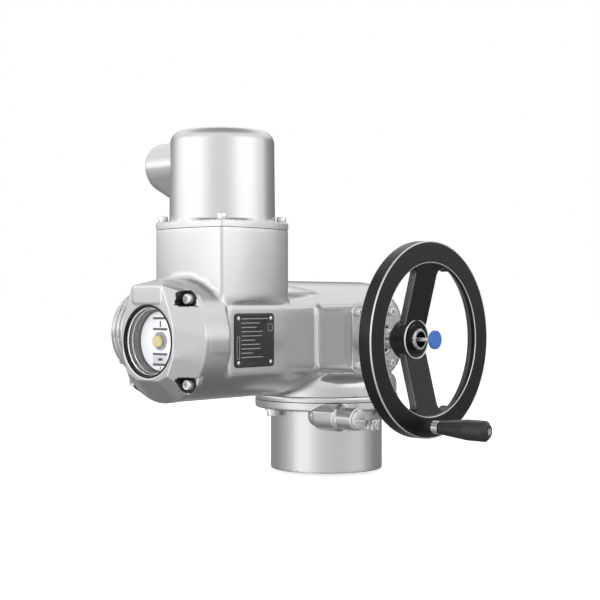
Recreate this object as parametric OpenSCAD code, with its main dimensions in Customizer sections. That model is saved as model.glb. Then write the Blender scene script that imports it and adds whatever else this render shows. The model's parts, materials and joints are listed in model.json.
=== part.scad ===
// Electric multi-turn valve actuator with handwheel, position window and plug-in electrical connection.
// Origin: centre of the face that bolts to the valve. +Z is up along the output shaft, +X points along
// the handwheel shaft towards the handwheel, and -Y points out of the indicator window.

/* [Output drive] */
// Radius of the round foot that stands on the valve
foot_r = 63.3; // [62:0.1:66]
// Height of the foot below its upper flange
foot_h = 69; // [66:0.5:72]
// Thickness of the foot's upper flange
foot_flange_t = 9; // [8:0.5:11]
// Radius of the flange stack between foot and gear housing
stack_r = 81; // [80:0.5:84]
// Thickness of the spacer ring in the flange stack
ring_t = 5.4; // [4:0.2:7]
// Thickness of each flat gasket
gasket_t = 0.6; // [0.4:0.1:1]
// How far a gasket stays back from the edge of its flange
gasket_inset = 1.6; // [1:0.2:3]
// Radius of the spigot that centres the foot in the valve flange
spigot_r = 35; // [34:0.5:36]
// Height of the centring spigot
spigot_h = 3; // [2:0.5:3]
// Radius of the bolt circle on the valve face
valve_bolt_pcr = 51; // [50:0.5:52]
// Radius of each threaded hole in the valve face
valve_bolt_r = 5; // [4:0.5:6]
// Depth of the threaded holes in the valve face
valve_bolt_depth = 22; // [16:1:28]
// Radius of the cavity inside the foot
foot_cavity_r = 32; // [31:0.5:33]
// Distance from the edge of the flange stack to the middle of its screws
stack_screw_edge = 8.7; // [8.3:0.1:9]
// Number of stack screws
stack_screw_n = 6; // [4:1:8]
// Outer radius of the hollow output shaft
shaft_r = 22; // [21:0.5:23]
// Radius of the stem bore in the output shaft and the drive bush
stem_r = 15; // [12:0.5:16]
// Outer radius of the drive bush at the bottom of the shaft
bush_r = 30; // [28:0.5:30.5]
// Height of the drive bush
bush_h = 26; // [20:1:30]

/* [Gearing] */
// Height of the handwheel, worm and motor axis above the valve face
axis_z = 149; // [147:0.5:155]
// Gear module
gear_m = 2; // [1.8:0.05:2.1]
// Number of teeth on the worm wheel
wheel_teeth = 28; // [24:1:30]
// Pitch radius of the worm
worm_r = 12; // [11:0.5:13]
// Number of turns of the worm thread
worm_turns = 6; // [4:2:6]
// Play between worm thread and wheel tooth along the worm
backlash = 0.45; // [0.3:0.05:0.8]
// Pressure angle of the thread flanks
flank_angle = 20; // [15:1:25]
// Face width of the worm wheel
wheel_w = 16; // [12:0.5:18]
// Radius of the worm shaft in its bearings
worm_shaft_r = 8; // [7:0.5:8.5]
// Outer radius of the worm bearings
worm_bearing_r = 20; // [19:0.5:21]
// Width of the worm bearings
worm_bearing_w = 12; // [10:0.5:14]
// Distance from the output axis to the inner side of each worm bearing
worm_bearing_x = 28; // [27:0.5:30]

/* [Gear housing] */
// Radius of the horizontal barrel
barrel_r = 61.5; // [60:0.5:63]
// Distance from the output axis to the joint of the switch cover
barrel_front = 243; // [238:1:248]
// Distance from the output axis to the closed rear end of the barrel
barrel_back = 82; // [76:1:86]
// Half width between the flats on the sides of the barrel
flat_x = 49.5; // [48.5:0.5:51]
// Distance from the output axis to the front end of the flats
flat_front = 212; // [208:1:216]
// How far the panel stands proud of the flat
pad_t = 1.5; // [1:0.25:2]
// Radius of the bell around the output axis
bell_r = 80; // [78:0.5:81]
// Height of the straight wall of the bell
bell_wall = 12; // [10:0.5:15]
// Radius of the bell's rounded shoulder
bell_round = 12; // [8:0.5:14]
// Radius of the switch compartment
switch_r = 43; // [40:0.5:44]
// Radius of the gear cavity
gear_cavity_r = 34; // [33:0.5:36]
// Half width of the square tube for the handwheel drive
tube_half = 36; // [34:0.5:37]
// Corner radius of the square tube
tube_corner = 8; // [5:0.5:12]
// Distance from the output axis to the end of the square tube
tube_end = 93; // [90:1:98]
// Distance from the output axis to the motor joint
motor_joint = 84; // [83:1:90]
// Radius of the motor stub
stub_r = 50.5; // [48:0.5:52]

/* [Tower] */
// Distance from the output axis to the tower axis
tower_y = 166; // [163:1:168]
// Half distance between neighbouring tower corners
tower_half = 49; // [47:0.5:51]
// How far each side of the tower bulges past the straight line between its corners
tower_bulge = 6; // [3:0.5:8]
// Height of the tower's upper joint above the valve face
tower_top = 262; // [255:1:270]
// Radius of the bore in the tower
tower_bore_r = 41; // [38:0.5:42]
// Thickness of the flange plate of the drum cover
plate_t = 7.4; // [6:0.2:9]
// Outer radius of the drum at its base
drum_r = 55; // [53:0.5:56]
// How much the drum narrows towards its top
drum_draft = 1; // [0:0.25:2]
// Height of the top of the drum above the valve face
drum_top = 364; // [355:1:370]
// Radius of the drum's rounded top edge
drum_round = 12; // [8:1:16]
// Wall thickness of the drum cover
drum_wall = 4.5; // [3.5:0.5:6]
// Offset of the four flange screws from the tower axis, along X and along Y
tower_screw = 43.4; // [42.5:0.1:44]
// Height of the main cable entry above the valve face
entry_z = 333; // [328:1:336]
// Radius of the main cable entry boss
entry_boss_r = 26; // [24:0.5:27]
// Distance from the tower axis to the face of the main cable entry boss
entry_reach = 93; // [85:1:98]
// Radius of the largest threaded cable entry
entry_r = 16; // [14:0.5:17]
// Distance from the tower axis to the faces of the two smaller entries
small_reach = 68; // [64:1:74]

/* [Switch cover and window] */
// Depth of the switch cover from its joint to its front face
cover_depth = 25.8; // [23:0.2:27]
// Radius of the switch cover at its joint
cover_r = 62; // [61:0.5:63]
// Radius to which the cover's rim bulges at its four corners
cover_corner_r = 65.5; // [63:0.5:67]
// Depth of the straight rim of the cover
cover_rim = 5.5; // [5:0.5:8]
// Half width of the cover's front face at its upper edge
badge_half_w = 22; // [18:0.5:23]
// Height of the front face's upper edge above the window centre
badge_top = 55; // [52:0.5:57]
// How far the bare pad above the window stands proud of the front face
badge_t = 0.7; // [0.4:0.1:1]
// Outer radius of the window's rubber ring
window_r = 35.7; // [34:0.1:37]
// Radius of the innermost step of the window
window_open_r = 30.4; // [30:0.1:31]
// Distance from the front face to the indicator disc
dial_depth = 18.4; // [18:0.1:20]
// Offset of the cover screws from the window centre along X
cover_screw_x = 40; // [39:0.1:40.4]
// Offset of the cover screws from the window centre along Z
cover_screw_z = 41.5; // [41:0.1:41.9]

/* [Handwheel] */
// Distance from the output axis to the front plane of the rim
wheel_face_x = 177; // [170:1:185]
// Outer radius of the handwheel
wheel_r = 101; // [95:1:105]
// Inner radius of the rim
rim_r = 78.5; // [74:0.5:82]
// Width of the rim along the shaft, at its outer side
rim_w = 16; // [13:0.5:20]
// Width of the rim at its inner side
rim_lip = 5; // [4:0.5:8]
// Width of the two spokes
spoke_w = 36; // [30:1:40]
// Thickness of the spokes
spoke_t = 9; // [7:0.5:11]
// Distance from the rim's front plane back to the hub face
hub_back = 19.5; // [17:0.5:22]
// Radius of the raised hub ring
hub_ring_r = 20.8; // [20:0.1:22]
// Radius of the narrow rear end of the hub
hub_back_r = 14; // [13.5:0.5:16]
// Outer radius of the hollow handwheel shaft
hand_shaft_r = 11; // [10:0.5:12]
// Radius of the bore in the outer end of the handwheel shaft
hand_bore_r = 8.3; // [7:0.1:9]
// Radius of the push button head
button_r = 9.6; // [8:0.2:11]
// Thickness of the push button head
button_t = 4; // [3:0.25:5]
// Distance from the rim's front plane to the face of the button
button_out = 5.5; // [4:0.5:8]
// Radius of the push button pin
button_pin_r = 2; // [1.2:0.1:2.5]
// Distance from the handwheel axis to the handle
handle_radius = 89.5; // [88:0.5:90.5]
// Length of the grip
grip_l = 58; // [50:1:75]
// Radius of the grip at its inner end
grip_r1 = 7; // [6:0.25:8]
// Largest radius of the grip
grip_r2 = 10.6; // [9:0.2:12]

/* [Motor] */
// Radius of the motor flange
motor_flange_r = 61; // [60:0.5:62]
// Radius of the motor barrel
motor_r = 50.5; // [49:0.5:51]
// Radius of the motor's end section
motor_end_r = 55; // [53:0.5:57]
// Distance from the output axis to the joint of the motor end cap
cap_joint = 243; // [238:1:248]
// Distance from the output axis to the end of the motor
motor_end = 275; // [270:1:285]
// Number of ring ribs on the end cap
cap_ribs = 3; // [2:1:3]
// Depth of the grooves between the ribs
cap_groove = 3; // [2:0.25:4]

/* [Rating plate] */
// Length of the rating plate
label_w = 56.7; // [50:0.5:60]
// Height of the rating plate
label_h = 54.3; // [48:0.5:58]
// Distance from the output axis to the middle of the rating plate
label_y = 171.2; // [165:0.5:174]

/* [Fits] */
// Radial clearance of shafts that turn in a bearing or guide
run_gap = 0.05; // [0.02:0.01:0.08]
// Radial clearance of parts that are seated in a bore
seat_gap = 0.03; // [0.01:0.01:0.05]
// Radial clearance of a screw shank in its hole
screw_gap = 0.2; // [0.1:0.05:0.4]

/* [Hidden] */

$fn = 64;
// Small overlap for cuts that run past a face
eps = 0.01;

// Heights in the flange stack
foot_top = foot_h + foot_flange_t;
ring_z0 = foot_top + gasket_t;
ring_z1 = ring_z0 + ring_t;
bell_z0 = ring_z1 + gasket_t;

// Worm and wheel
wheel_pitch_r = gear_m * wheel_teeth / 2;
centre_dist = wheel_pitch_r + worm_r;
hand_y = -centre_dist;
thread_pitch = PI * gear_m;
worm_tip_r = worm_r + gear_m;
worm_root_r = worm_r - 1.2 * gear_m;
wheel_tip_r = wheel_pitch_r + gear_m;
wheel_root_r = wheel_pitch_r - 1.2 * gear_m;
lead_angle = atan(gear_m / (2 * worm_r));
worm_bearing_end = worm_bearing_x + worm_bearing_w;
coupling_x = worm_bearing_end + 3;
coupling_r = 15;
coupling_l = 20;

// Shaft bearings of the output drive
upper_bearing_r = 32;
upper_bearing_h = 12;
upper_bearing_z = axis_z + wheel_w / 2 + 3;
lower_bearing_r = 34;
lower_bearing_h = 14;
lower_bearing_z = foot_h - 16;
shaft_z0 = bush_h + 2;
shaft_z1 = upper_bearing_z + upper_bearing_h;
claw_h = 8;

// Metric screws: head radius, head height and shank radius of the sizes used
m8_head = [6.5, 8, 4];
m6_head = [5, 6, 3];
m5_head = [4.25, 5, 2.5];
stack_screw_turn = 15;
stack_screw_pcr = stack_r - stack_screw_edge;
// Depth of the spot faces under the stack screws' heads
spot_face = 0.4;
flange_bevel = 1.5;
stack_screw_l = foot_flange_t + ring_t + 2 * gasket_t + 9;

// Oil plug boss on the foot
plug_y = -57;
plug_z = 63.5;
plug_boss_r = 12.3;
plug_boss_x0 = 38.5;
plug_boss_x1 = 93;
plug_thread_r = 8;
plug_head_r = 10.5;

// Earthing lug on the foot
lug_y = -20;
lug_w = 16;
lug_z = 54.5;
lug_h = 11;
lug_end = 84;

// Switch cover
cover_face = barrel_front + cover_depth + gasket_t;
cover_back = barrel_front + gasket_t;
window_seat_depth = 5;
glass_t = 4;
glass_r = window_r - 1.5;
window_bore_r = glass_r + 0.2;
window_steps = 4;
window_step_l = 2.9;
window_step_w = 1;
dial_y = cover_face - dial_depth;
dial_r = window_open_r - 1;
dial_t = 1.2;
knob_r = 6.4;

// Tower
tower_mid = tower_half + tower_bulge;
tower_arc_r = (pow(tower_half, 2) + pow(tower_bulge, 2)) / (2 * tower_bulge);
plate_z0 = tower_top + gasket_t;
plate_z1 = plate_z0 + plate_t;
carrier_seat_z = tower_top - 22;
carrier_step_r = tower_bore_r - 5;
// The sides of the tower bulge only above this height, clear of the panels on the flats
tower_base_z = axis_z + 39;
small_entry_z = entry_z - 5;
side_boss_r = 18;
side_entry_r = 12.5;
rear_boss_r = 15;
rear_entry_r = 10;
// Cable entries: turn about the tower, height, boss radius, reach, length of the gusset, bore radius
entry_list = [
    [180, entry_z, entry_boss_r, entry_reach, entry_boss_r + 20, entry_r],
    [133, small_entry_z, side_boss_r, small_reach, side_boss_r + 7, side_entry_r],
    [98, small_entry_z, rear_boss_r, small_reach, rear_boss_r + 7, rear_entry_r]
];
plug_rim = 3;
plug_l = 12;

// Socket carrier and its pins
carrier_l = tower_top - carrier_seat_z;
carrier_neck_r = 34;
carrier_neck_l = 26;
pin_r = 1.5;
pin_l = 9;
// Radius and number of pins of each ring
pin_rings = [[27, 18], [16, 10]];

// Switch compartment: plate, studs and the blocks in front of the plate
base_y = 120;
base_t = 5;
stud_x = 30;
stud_r = 4;
block_y = base_y + base_t;
switch_n = 4;
switch_x = 14;
switch_size = [14, 9, 18];
switch_foot_h = 4;
switch_top_z = -8;
counter_size = [32, 60, 24];
bracket_y = barrel_front - 18;
bracket_size = [72, 4, 10];

// Handwheel side
manual_plate_t = 8;
manual_collar_r = 19.5;
manual_collar_l = 12;
manual_end = tube_end + manual_plate_t + manual_collar_l;
manual_screw = 27.5;
hand_bearing_r = 16;
hand_bearing_w = 9;
hub_face_x = wheel_face_x - hub_back;
hub_cone_l = 8;
hub_l = 26;
shaft_end_x = wheel_face_x - 14.5;
shaft_step_x = worm_bearing_end + 26;
shaft_tail_x = worm_bearing_end + 14;
worm_end_x = shaft_tail_x - 2;
handle_y = hand_y + 3.5;
handle_z = axis_z - handle_radius;
collar_r = 6.8;
collar_l = 7.5;
spindle_r = 3.5;
button_face_x = wheel_face_x + button_out;
grip_x0 = wheel_face_x + collar_l + 0.3;

// Motor side, as distances from the output axis towards the motor
motor_flange_t = 10;
motor_shield_t = 16;
motor_wall = 5;
motor_bearing_r = 16;
motor_bearing_w = 10;
stator_x0 = 130;
stator_l = 74;
rotor_gap = 0.8;
rotor_r = 27;
rotor_tail_x = worm_end_x + 1;
// Offset of the motor flange screws from the motor axis, in the turned square
motor_screw_at = (motor_r + m6_head[0] + 0.9) / sqrt(2);
// Offset of the end cap screws from the motor axis, along both directions
cap_screw_at = (motor_end_r - 6.2) / sqrt(2);
rib_step = 7.3;
rib_w = 4.3;

module x_axis(x, y = hand_y, z = axis_z) {
    translate([x, y, z]) rotate([0, 90, 0]) children();
}

// Same axis, but facing the motor: positions are distances towards the motor
module motor_axis(x, y = hand_y, z = axis_z) {
    translate([-x, y, z]) rotate([0, -90, 0]) children();
}

// Faces the window: positions are distances towards the window
module front_axis(y, x = 0, z = axis_z) {
    translate([x, -y, z]) rotate([90, 0, 0]) children();
}

module tube(r_out, r_in, h) {
    difference() {
        cylinder(r = r_out, h = h);
        translate([0, 0, -eps]) cylinder(r = r_in, h = h + 2 * eps);
    }
}

// Puts a copy at each corner of a rectangle with these half sizes
module corners(a, b) {
    for (i = [-1, 1], j = [-1, 1]) translate([i * a, j * b, 0]) children();
}

module round_rect(w, h, r) {
    square([w, h - 2 * r], center = true);
    square([w - 2 * r, h], center = true);
    for (i = [-1, 1], j = [-1, 1]) translate([i * (w / 2 - r), j * (h / 2 - r)]) circle(r = r);
}

// Socket head screw: shank below z = 0, head above it
module socket_screw(size, length) {
    hex_r = size[2] * 0.95;
    difference() {
        union() {
            cylinder(r = size[0], h = size[1] - 0.6);
            translate([0, 0, size[1] - 0.6]) cylinder(r1 = size[0], r2 = size[0] - 0.6, h = 0.6);
            translate([0, 0, -length]) cylinder(r = size[2], h = length + eps);
        }
        translate([0, 0, size[1] * 0.45]) cylinder(r = hex_r, h = size[1], $fn = 6);
    }
}

module screw_hole(size, length) {
    translate([0, 0, -length - 1]) cylinder(r = size[2] + screw_gap, h = length + 2);
}

// Ball bearing ring with a groove on both faces
module bearing(r_out, r_in, w) {
    groove_r = (r_out + r_in) / 2;
    groove_w = (r_out - r_in) * 0.2;
    difference() {
        tube(r_out - seat_gap, r_in + run_gap, w);
        translate([0, 0, -eps]) tube(groove_r + groove_w, groove_r - groove_w, 0.8);
        translate([0, 0, w - 0.8 + eps]) tube(groove_r + groove_w, groove_r - groove_w, 0.8);
    }
}

module stack_screws_at() {
    for (k = [0:stack_screw_n - 1])
        rotate([0, 0, stack_screw_turn + k * 360 / stack_screw_n])
            translate([stack_screw_pcr, 0, foot_h + spot_face]) rotate([180, 0, 0]) children();
}

module tower_plan(inset = 0) {
    reach = tower_arc_r - inset;
    intersection() {
        translate([tower_mid - tower_arc_r, 0]) circle(r = reach, $fn = 256);
        translate([tower_arc_r - tower_mid, 0]) circle(r = reach, $fn = 256);
        translate([0, tower_mid - tower_arc_r]) circle(r = reach, $fn = 256);
        translate([0, tower_arc_r - tower_mid]) circle(r = reach, $fn = 256);
    }
}

module tower_axis(z) {
    translate([0, -tower_y, z]) children();
}

// Castings of the gear housing
module barrel() {
    length = barrel_back + barrel_front;
    front_axis(-barrel_back)
        rotate_extrude($fn = 128)
            polygon([
                [0, 0], [barrel_r - 13.5, 0], [barrel_r - 4, 9], [barrel_r, 22],
                [barrel_r, length], [0, length]
            ]);
}

module barrel_with_flats() {
    intersection() {
        difference() {
            barrel();
            cylinder(r = stack_r + 2, h = bell_z0 + 1);
        }
        union() {
            translate([-flat_x, -flat_front, 0])
                cube([2 * flat_x, flat_front + barrel_back + 1, 2 * axis_z]);
            translate([-2 * barrel_r, -barrel_front - 1, 0])
                cube([4 * barrel_r, barrel_front - flat_front + 1 + eps, 2 * axis_z]);
        }
    }
}

// Raised panel on one flat, between two distances from the output axis
module side_panel(y_front, y_back, side) {
    half_h = sqrt(pow(barrel_r, 2) - pow(flat_x + pad_t, 2));
    length = y_front - y_back;
    translate([side * (flat_x - 1), -(y_front + y_back) / 2, axis_z])
        rotate([0, side * 90, 0])
            linear_extrude(height = pad_t + 1) round_rect(2 * half_h, length, 5);
}

module bell() {
    shoulder = bell_z0 + bell_wall;
    rotate_extrude($fn = 128)
        union() {
            translate([0, bell_z0]) square([bell_r, bell_wall]);
            translate([0, shoulder - eps]) square([bell_r - bell_round, bell_round + eps]);
            translate([bell_r - bell_round, shoulder]) circle(r = bell_round);
            polygon([
                [0, shoulder], [bell_r - bell_round, shoulder + bell_round],
                [flat_x, axis_z - 20], [0, axis_z - 20]
            ]);
        }
}

// Recess beside the tower, with a sloping floor
module shoulder_notch() {
    wall_x = 15;
    length = 95;
    translate([0, -tower_y + 39, 0]) rotate([0, 0, -17.8])
        translate([0, length, 0]) rotate([90, 0, 0])
            linear_extrude(height = length)
                polygon([
                    [wall_x, axis_z + 47], [wall_x + 60, axis_z + 29],
                    [wall_x + 60, axis_z + 90], [wall_x, axis_z + 90]
                ]);
}

module gear_housing() {
    color("silver") difference() {
        union() {
            difference() {
                barrel_with_flats();
                shoulder_notch();
                mirror([1, 0, 0]) shoulder_notch();
            }
            side_panel(flat_front - 5, -hand_y + tube_half, 1);
            side_panel(flat_front - 5, -hand_y + stub_r + 14, -1);
            bell();
            tower_axis(tower_base_z) linear_extrude(height = tower_top - tower_base_z) tower_plan();
            tower_axis(axis_z) linear_extrude(height = tower_base_z - axis_z + eps) intersection() {
                tower_plan();
                square([2 * flat_x, 2 * tower_mid + 1], center = true);
            }
            x_axis(30) linear_extrude(height = tube_end - 30)
                round_rect(2 * tube_half, 2 * tube_half, tube_corner);
            motor_axis(30) cylinder(r = stub_r, h = motor_joint - 30);
            motor_axis(motor_joint - motor_flange_t) cylinder(r = motor_flange_r, h = motor_flange_t);
        }
        // Switch compartment and the way up through the tower
        front_axis(90) cylinder(r = switch_r, h = barrel_front);
        tower_axis(axis_z) cylinder(r = carrier_step_r, h = tower_top);
        tower_axis(carrier_seat_z) cylinder(r = tower_bore_r, h = tower_top);
        // Gear cavity, bearing seat and worm tunnel
        translate([0, 0, bell_z0 - 1]) cylinder(r = gear_cavity_r, h = upper_bearing_z - bell_z0 + 1);
        translate([0, 0, axis_z]) cylinder(r = upper_bearing_r, h = shaft_z1 - axis_z);
        translate([0, 0, axis_z]) cylinder(r = shaft_r + 3, h = shaft_z1 - axis_z + 6);
        x_axis(-worm_bearing_x - eps) cylinder(r = worm_tip_r + 3, h = 2 * worm_bearing_x + 2 * eps);
        x_axis(worm_bearing_x) cylinder(r = worm_bearing_r, h = tube_end);
        motor_axis(worm_bearing_x) cylinder(r = worm_bearing_r, h = motor_joint);
        // Screw holes
        stack_screws_at() screw_hole(m8_head, stack_screw_l);
        front_axis(barrel_front) corners(cover_screw_x, cover_screw_z) screw_hole(m6_head, 16);
        tower_axis(tower_top) corners(tower_screw, tower_screw) screw_hole(m6_head, 14);
        x_axis(tube_end) corners(manual_screw, manual_screw) screw_hole(m5_head, 12);
        motor_axis(motor_joint) rotate([0, 0, 45]) corners(motor_screw_at, motor_screw_at)
            screw_hole(m6_head, motor_flange_t + 2);
        translate([flat_x + pad_t, -label_y, axis_z]) rotate([0, 90, 0])
            corners(label_h / 2 - 5, label_w / 2 - 5) translate([0, 0, -4]) cylinder(r = 1.3, h = 5);
    }
}

module flange_ring() {
    color("silver") difference() {
        translate([0, 0, ring_z0]) tube(stack_r, gear_cavity_r, ring_t);
        stack_screws_at() screw_hole(m8_head, stack_screw_l);
    }
}

module flange_gaskets() {
    color("black") difference() {
        for (z = [foot_top, ring_z1])
            translate([0, 0, z]) tube(stack_r - gasket_inset, gear_cavity_r + 1, gasket_t);
        stack_screws_at() screw_hole(m8_head, stack_screw_l);
    }
}

module plug_axis(x) {
    translate([x, plug_y, plug_z]) rotate([0, 90, 0]) children();
}

// Rounded back end of the plug boss, where it leaves the foot
module plug_boss() {
    plug_axis(plug_boss_x0) cylinder(r = plug_boss_r, h = plug_boss_x1 - plug_boss_x0);
    plug_axis(plug_boss_x0) sphere(r = plug_boss_r);
    intersection() {
        plug_axis(plug_boss_x1 - 31) cylinder(r = plug_boss_r + 2.5, h = 8);
        translate([0, -stack_r - 20, plug_z]) cube([stack_r + 20, stack_r + 20, foot_top - plug_z - 1]);
    }
}

module output_housing() {
    color("silver") difference() {
        union() {
            cylinder(r = foot_r, h = foot_h + eps, $fn = 128);
            translate([0, 0, foot_h])
                rotate_extrude($fn = 128)
                    polygon([
                        [0, 0], [stack_r - flange_bevel, 0], [stack_r, flange_bevel],
                        [stack_r, foot_flange_t], [0, foot_flange_t]
                    ]);
            translate([0, 0, -spigot_h]) cylinder(r = spigot_r, h = spigot_h + eps);
            plug_boss();
            translate([foot_r - 8, lug_y - lug_w / 2, lug_z - lug_h / 2])
                cube([lug_end - foot_r + 8, lug_w, lug_h]);
        }
        translate([0, 0, -spigot_h - 1]) cylinder(r = foot_cavity_r, h = lower_bearing_z - 6 + spigot_h + 1);
        translate([0, 0, lower_bearing_z - 6 - eps]) cylinder(r = foot_cavity_r - 3, h = 6 + 2 * eps);
        translate([0, 0, lower_bearing_z]) cylinder(r = lower_bearing_r, h = foot_top);
        for (k = [0:3]) rotate([0, 0, 45 + 90 * k])
            translate([valve_bolt_pcr, 0, -1]) cylinder(r = valve_bolt_r, h = valve_bolt_depth + 1);
        stack_screws_at() screw_hole(m8_head, stack_screw_l);
        stack_screws_at() cylinder(r = m8_head[0] + 0.5, h = m8_head[1] + 1);
        plug_axis(plug_boss_x1 - 22) cylinder(r = plug_thread_r + seat_gap, h = 30);
        translate([lug_end - 16, lug_y, lug_z]) rotate([0, 90, 0])
            cylinder(r = m5_head[2] + screw_gap, h = 20);
    }
}

module output_screws() {
    color("lightgray") stack_screws_at() socket_screw(m8_head, stack_screw_l);
}

module upper_shaft_bearing() {
    color("gray") translate([0, 0, upper_bearing_z])
        bearing(upper_bearing_r, shaft_r, upper_bearing_h);
}

module lower_shaft_bearing() {
    color("gray") translate([0, 0, lower_bearing_z])
        bearing(lower_bearing_r, shaft_r, lower_bearing_h);
}

module stem_seal() {
    color("black") translate([0, 0, lower_bearing_z - 6])
        tube(foot_cavity_r - 3 - seat_gap, shaft_r + run_gap, 6);
}

module oil_plug() {
    color("lightgray") plug_axis(plug_boss_x1) difference() {
        union() {
            cylinder(r = plug_head_r, h = 2.4);
            translate([0, 0, 2.4 - eps]) cylinder(r1 = plug_head_r, r2 = plug_head_r - 1, h = 1);
            translate([0, 0, -20]) cylinder(r = plug_thread_r, h = 20 + eps);
        }
        translate([-1.2, -plug_head_r, 1.2]) cube([2.4, 2 * plug_head_r, 4]);
    }
}

module earth_clamp() {
    color("lightgray") translate([lug_end, lug_y, lug_z]) difference() {
        union() {
            translate([0, -6, -5.5]) cube([2, 12, 11]);
            translate([2 - eps, -6, -5.5]) cube([2, 2, 11]);
            translate([2 - eps, 4, -5.5]) cube([2, 2, 11]);
        }
        translate([-1, 0, 0]) rotate([0, 90, 0]) cylinder(r = m5_head[2] + screw_gap, h = 8);
    }
}

module earth_screw() {
    color("lightgray") translate([lug_end + 2, lug_y, lug_z]) rotate([0, 90, 0]) difference() {
        union() {
            cylinder(r = 3.8, h = 3.4);
            translate([0, 0, -15]) cylinder(r = m5_head[2], h = 15 + eps);
        }
        translate([-0.6, -5, 2]) cube([1.2, 10, 3]);
    }
}

// Rim of the cover, slightly squared towards its four screw corners
module cover_rim_plan(inset = 0) {
    corner_circle_r = cover_corner_r - 45;
    circle(r = cover_r - inset, $fn = 96);
    for (a = [45:90:315]) rotate(a) translate([45, 0]) circle(r = corner_circle_r - inset, $fn = 48);
}

module cover_front_plan() {
    polygon([
        [badge_half_w, badge_top], [31, 33], [window_r + 1.6, 15], [window_r + 1.6, -15],
        [29, -33], [15, -38.5], [-15, -38.5], [-29, -33],
        [-window_r - 1.6, -15], [-window_r - 1.6, 15], [-31, 33], [-badge_half_w, badge_top]
    ]);
}

// Corner cut that gives a cover screw its seat, open towards the outside
module screw_pocket_plan() {
    polygon([[-7, -3.6], [-6.4, -5.1], [-4.8, -5.8], [26, -8.6], [26, 30], [3.5, 30]]);
}

module switch_cover() {
    badge_h = 17.5;
    color("silver") front_axis(cover_back) difference() {
        union() {
            hull() {
                translate([0, 0, cover_rim - 1]) linear_extrude(height = 1) cover_rim_plan(0.6);
                translate([0, 0, cover_depth - 0.5]) linear_extrude(height = 0.5) cover_front_plan();
            }
            linear_extrude(height = cover_rim) cover_rim_plan();
            translate([0, badge_top - badge_h / 2 - 0.5, cover_depth - 1])
                linear_extrude(height = badge_t + 1) round_rect(2 * badge_half_w - 2, badge_h, 4);
        }
        translate([0, 0, -1]) cylinder(r = window_bore_r, h = cover_depth + 4);
        translate([0, 0, cover_depth - window_seat_depth]) cylinder(r = window_r, h = 10);
        for (i = [0, 1], j = [0, 1]) mirror([i, 0, 0]) mirror([0, j, 0])
            translate([cover_screw_x, cover_screw_z, cover_rim]) {
                linear_extrude(height = cover_depth) screw_pocket_plan();
                screw_hole(m6_head, cover_rim + 2);
            }
    }
}

module cover_seal() {
    color("black") front_axis(barrel_front) difference() {
        tube(cover_r - gasket_inset, switch_r + 1, gasket_t);
        corners(cover_screw_x, cover_screw_z) screw_hole(m6_head, 2);
    }
}

module cover_screws() {
    color("lightgray") front_axis(cover_back + cover_rim)
        corners(cover_screw_x, cover_screw_z) socket_screw(m6_head, cover_rim + 14);
}

module window_gasket() {
    color("black") front_axis(cover_face - window_seat_depth)
        tube(window_r - seat_gap, glass_r, window_seat_depth + 0.4);
}

// Stepped steel ring behind the glass, narrowing towards the disc
module window_retainer() {
    length = window_steps * window_step_l;
    color("lightgray") front_axis(cover_face - window_seat_depth - length) difference() {
        cylinder(r = window_bore_r - seat_gap, h = length);
        for (k = [0:window_steps - 1])
            translate([0, 0, k * window_step_l - eps])
                cylinder(r = window_open_r + k * window_step_w, h = length);
    }
}

module window_glass() {
    color([0.85, 0.92, 0.95, 0.35]) front_axis(cover_face - window_seat_depth)
        cylinder(r = glass_r - seat_gap, h = glass_t);
}

module control_base() {
    color("gray") front_axis(base_y) difference() {
        union() {
            cylinder(r = switch_r - 0.5, h = base_t);
            for (i = [-1, 1]) translate([i * stud_x, 0, 0]) cylinder(r = stud_r, h = bracket_y - base_y);
        }
        translate([0, -stud_x, -1]) cylinder(r = 2 * stud_r, h = base_t + 2);
        for (i = [-1, 1]) translate([i * 0.6 * stud_x, stud_x, -1])
            cylinder(r = 1.5 * stud_r, h = base_t + 2);
    }
}

// Bank of small switches, each with its lever, on one carrier
module switch_bank(side) {
    depth = switch_size[1];
    left = side * switch_x - switch_size[0] / 2;
    bottom = switch_top_z - switch_size[2];
    for (k = [0:switch_n - 1]) front_axis(block_y + 1 + k * (depth + 1)) {
        translate([left, bottom, 0]) cube([switch_size[0], switch_size[2], depth]);
        translate([left + 1, switch_top_z - eps, depth / 2 - 1]) cube([switch_size[0] - 2, 2, 2]);
    }
    front_axis(block_y) translate([left, bottom - switch_foot_h, 0])
        cube([switch_size[0], switch_foot_h, switch_n * (depth + 1)]);
}

module limit_switches() {
    color("dimgray") switch_bank(-1);
}

module torque_switches() {
    color("dimgray") switch_bank(1);
}

module counter_gear_box() {
    color("ivory") front_axis(block_y) difference() {
        translate([-counter_size[0] / 2, -4, 0]) cube([counter_size[0], counter_size[2], counter_size[1]]);
        translate([0, 0, counter_size[1] - 12]) cylinder(r = 4.5, h = 20);
    }
}

module indicator_bracket() {
    color("gray") front_axis(bracket_y) difference() {
        union() {
            translate([-bracket_size[0] / 2, -bracket_size[2] / 2, 0])
                cube([bracket_size[0], bracket_size[2], bracket_size[1]]);
            cylinder(r = 7, h = 10);
        }
        translate([0, 0, -1]) cylinder(r = 3 + run_gap, h = 20);
    }
}

module connector_seal() {
    color("black") difference() {
        tower_axis(tower_top) linear_extrude(height = gasket_t) tower_plan(gasket_inset);
        tower_axis(tower_top - 1) cylinder(r = tower_bore_r + 1, h = 5);
        tower_axis(tower_top) corners(tower_screw, tower_screw)
            translate([0, 0, -1]) cylinder(r = m6_head[2] + screw_gap, h = 4);
    }
}

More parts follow.
